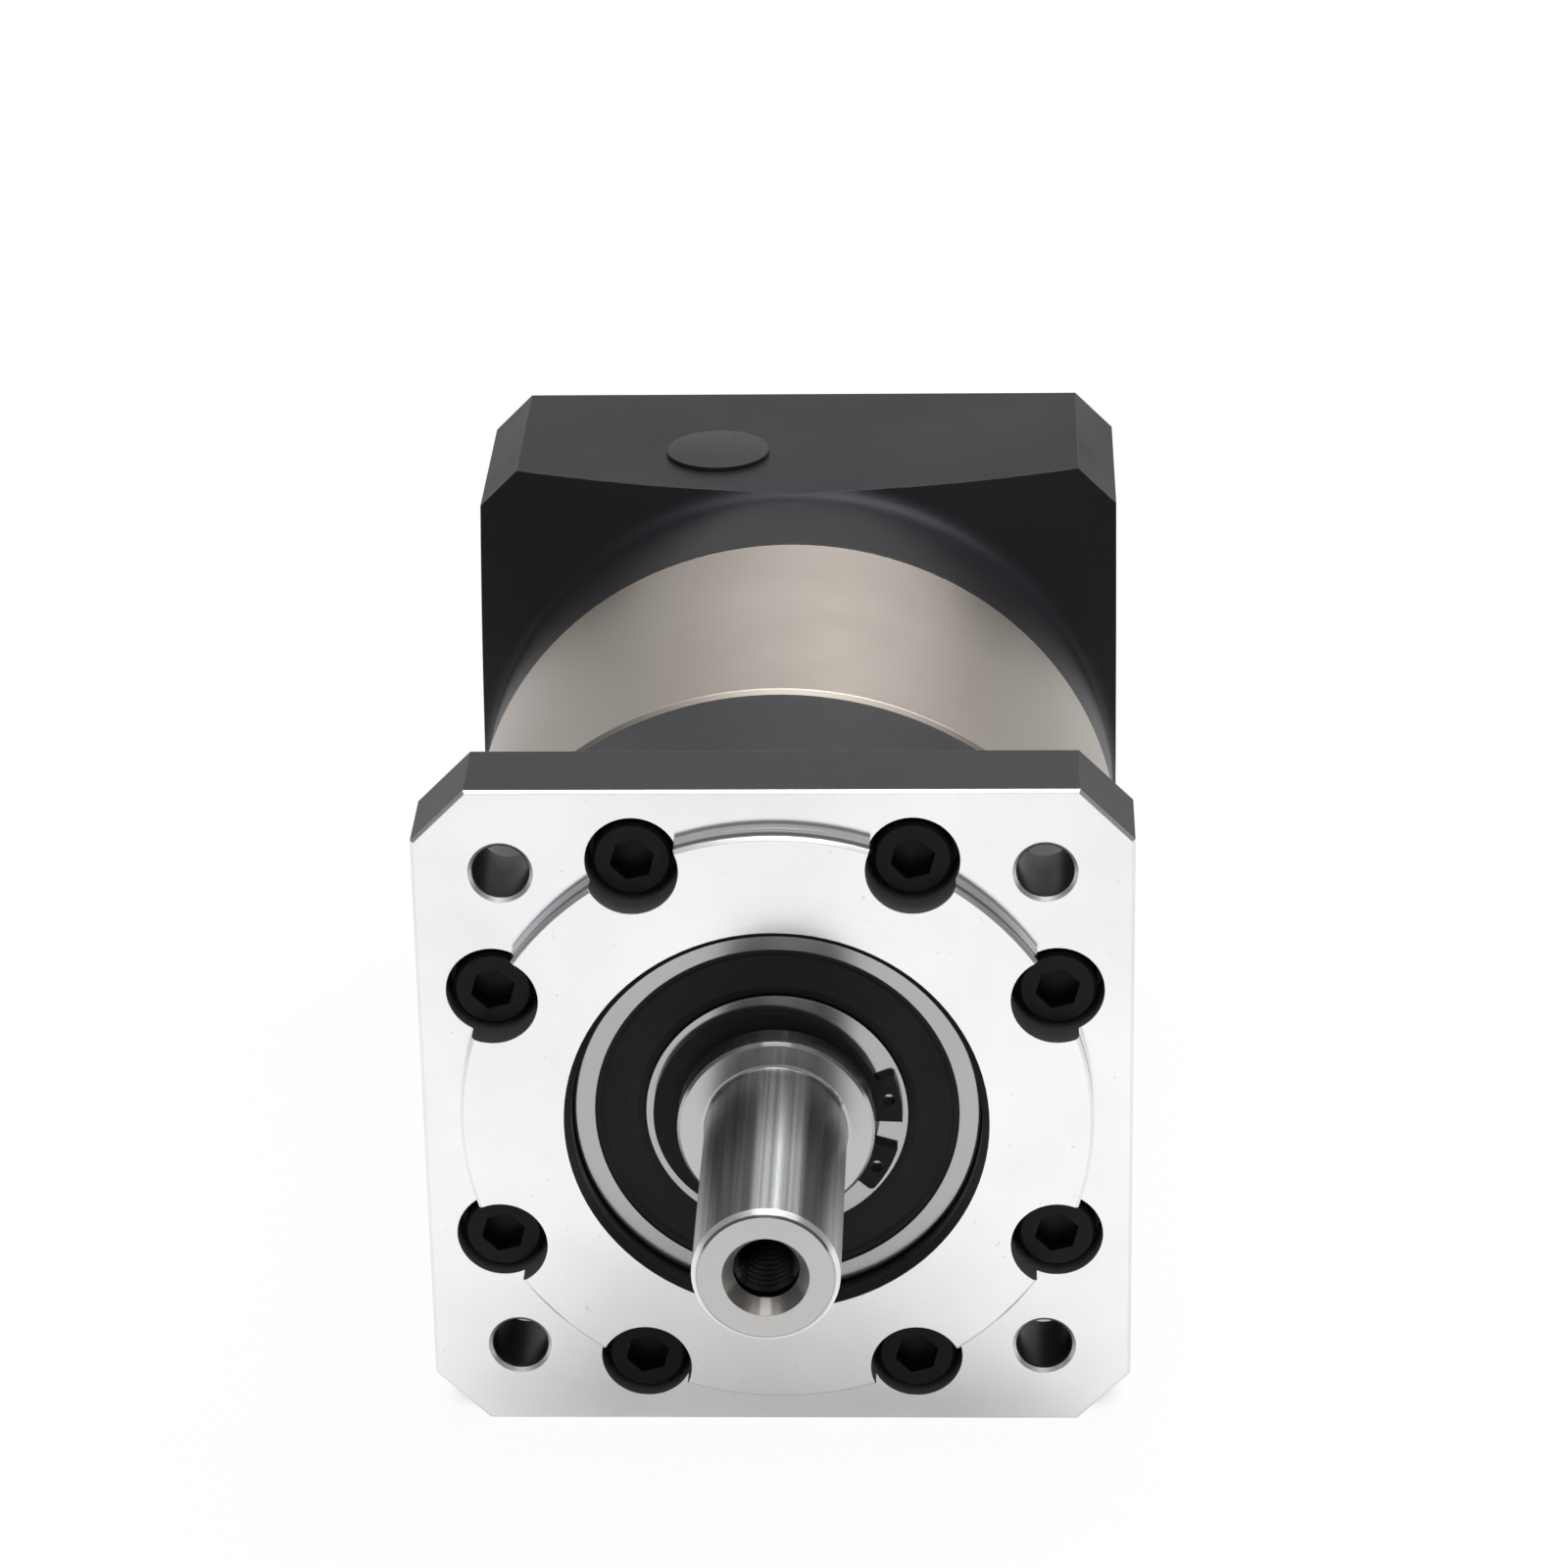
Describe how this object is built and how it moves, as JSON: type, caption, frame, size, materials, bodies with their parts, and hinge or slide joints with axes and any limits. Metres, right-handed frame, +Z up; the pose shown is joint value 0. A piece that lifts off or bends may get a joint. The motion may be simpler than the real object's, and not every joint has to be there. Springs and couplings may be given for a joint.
{
  "type": "planetary gear reducer",
  "caption": "In-line planetary gear reducer: square output flange with a round pilot and plain shaft, round ring gear sleeve, flared square motor adapter with a shaft clamp.",
  "frame": {"origin": "on the shaft axis, in the output flange's front face, at the pilot's foot", "axes": "+Z up, through the access plug's side; the shafts lie along Y, the output shaft points along -Y and the motor joins at +Y; +X is to the right, seen from the output shaft's end"},
  "size_m": [0.09, 0.1799, 0.0911],
  "materials": {
    "anodised_front": "dark anodised, front faces machined bright",
    "anodised_rear": "dark anodised",
    "nickel_sleeve": "satin nickel plated",
    "shaft_steel": "ground",
    "bearing_steel": "polished",
    "black_oxide": "black oxide",
    "seal_rubber": "matt",
    "gear_steel": "ground",
    "ground_steel": "ground",
    "pressed_cage": "pressed",
    "plug_plastic": "satin moulded"
  },
  "bodies": {
    "housing": {"front_housing": "anodised_front", "ring_gear": "nickel_sleeve", "motor_adapter": "anodised_rear", "front_screws": "black_oxide", "rear_screws": "black_oxide", "front_o_ring": "seal_rubber", "rear_o_ring": "seal_rubber", "input_circlip": "black_oxide", "input_oil_seal": "seal_rubber", "front_bearing_outer_ring": "bearing_steel", "front_bearing_seals": "seal_rubber", "middle_bearing_outer_ring": "bearing_steel", "middle_bearing_seals": "seal_rubber", "input_bearing_outer_ring": "bearing_steel", "input_bearing_seals": "seal_rubber"},
    "carrier": {"output_shaft": "shaft_steel", "carrier_rear_plate": "ground_steel", "carrier_screws": "black_oxide", "planet_pins": "ground_steel", "planet_washers": "ground_steel", "front_bearing_inner_ring": "bearing_steel", "middle_bearing_inner_ring": "bearing_steel", "bearing_spacer": "ground_steel", "shaft_circlip": "black_oxide"},
    "sun": {"sun_shaft": "gear_steel", "clamp_collar": "ground_steel", "clamp_screw": "black_oxide", "input_bearing_inner_ring": "bearing_steel"},
    "planet_1": {"planet_gear_1": "gear_steel"},
    "needles_1": {"planet_needles_1": "ground_steel"},
    "planet_2": {"planet_gear_2": "gear_steel"},
    "needles_2": {"planet_needles_2": "ground_steel"},
    "planet_3": {"planet_gear_3": "gear_steel"},
    "needles_3": {"planet_needles_3": "ground_steel"},
    "front_ball_set": {"front_bearing_balls": "bearing_steel", "front_bearing_cage": "pressed_cage"},
    "middle_ball_set": {"middle_bearing_balls": "bearing_steel", "middle_bearing_cage": "pressed_cage"},
    "input_ball_set": {"input_bearing_balls": "bearing_steel", "input_bearing_cage": "pressed_cage"},
    "plug": {"access_plug": "plug_plastic"}
  },
  "joints": [
    {"name": "output_turn", "type": "hinge", "parent": "housing", "child": "carrier", "pos_m": [0, 0, 0], "axis": [0, -1, 0], "continuous": true},
    {"name": "input_turn", "type": "hinge", "parent": "housing", "child": "sun", "pos_m": [0, 0, 0], "axis": [0, -1, 0], "continuous": true},
    {"name": "planet_1_turn", "type": "hinge", "parent": "carrier", "child": "planet_1", "pos_m": [0.021, 0, 0], "axis": [0, -1, 0], "continuous": true},
    {"name": "needles_1_turn", "type": "hinge", "parent": "carrier", "child": "needles_1", "pos_m": [0.021, 0, 0], "axis": [0, -1, 0], "continuous": true},
    {"name": "planet_2_turn", "type": "hinge", "parent": "carrier", "child": "planet_2", "pos_m": [-0.0105, 0, 0.01819], "axis": [0, -1, 0], "continuous": true},
    {"name": "needles_2_turn", "type": "hinge", "parent": "carrier", "child": "needles_2", "pos_m": [-0.0105, 0, 0.01819], "axis": [0, -1, 0], "continuous": true},
    {"name": "planet_3_turn", "type": "hinge", "parent": "carrier", "child": "planet_3", "pos_m": [-0.0105, 0, -0.01819], "axis": [0, -1, 0], "continuous": true},
    {"name": "needles_3_turn", "type": "hinge", "parent": "carrier", "child": "needles_3", "pos_m": [-0.0105, 0, -0.01819], "axis": [0, -1, 0], "continuous": true},
    {"name": "front_ball_set_turn", "type": "hinge", "parent": "housing", "child": "front_ball_set", "pos_m": [0, 0, 0], "axis": [0, -1, 0], "continuous": true},
    {"name": "middle_ball_set_turn", "type": "hinge", "parent": "housing", "child": "middle_ball_set", "pos_m": [0, 0, 0], "axis": [0, -1, 0], "continuous": true},
    {"name": "input_ball_set_turn", "type": "hinge", "parent": "housing", "child": "input_ball_set", "pos_m": [0, 0, 0], "axis": [0, -1, 0], "continuous": true},
    {"name": "plug_pull", "type": "slide", "parent": "housing", "child": "plug", "axis": [0, 0, 1], "range_m": [0, 0.012]}
  ],
  "couplings": [
    {"joint": "input_turn", "follows": "output_turn", "ratio": 4},
    {"joint": "planet_1_turn", "follows": "output_turn", "ratio": -3},
    {"joint": "needles_1_turn", "follows": "output_turn", "ratio": -1.8072},
    {"joint": "planet_2_turn", "follows": "output_turn", "ratio": -3},
    {"joint": "needles_2_turn", "follows": "output_turn", "ratio": -1.8072},
    {"joint": "planet_3_turn", "follows": "output_turn", "ratio": -3},
    {"joint": "needles_3_turn", "follows": "output_turn", "ratio": -1.8072},
    {"joint": "front_ball_set_turn", "follows": "output_turn", "ratio": 0.3969},
    {"joint": "middle_ball_set_turn", "follows": "output_turn", "ratio": 0.3969},
    {"joint": "input_ball_set_turn", "follows": "output_turn", "ratio": 1.666}
  ]
}
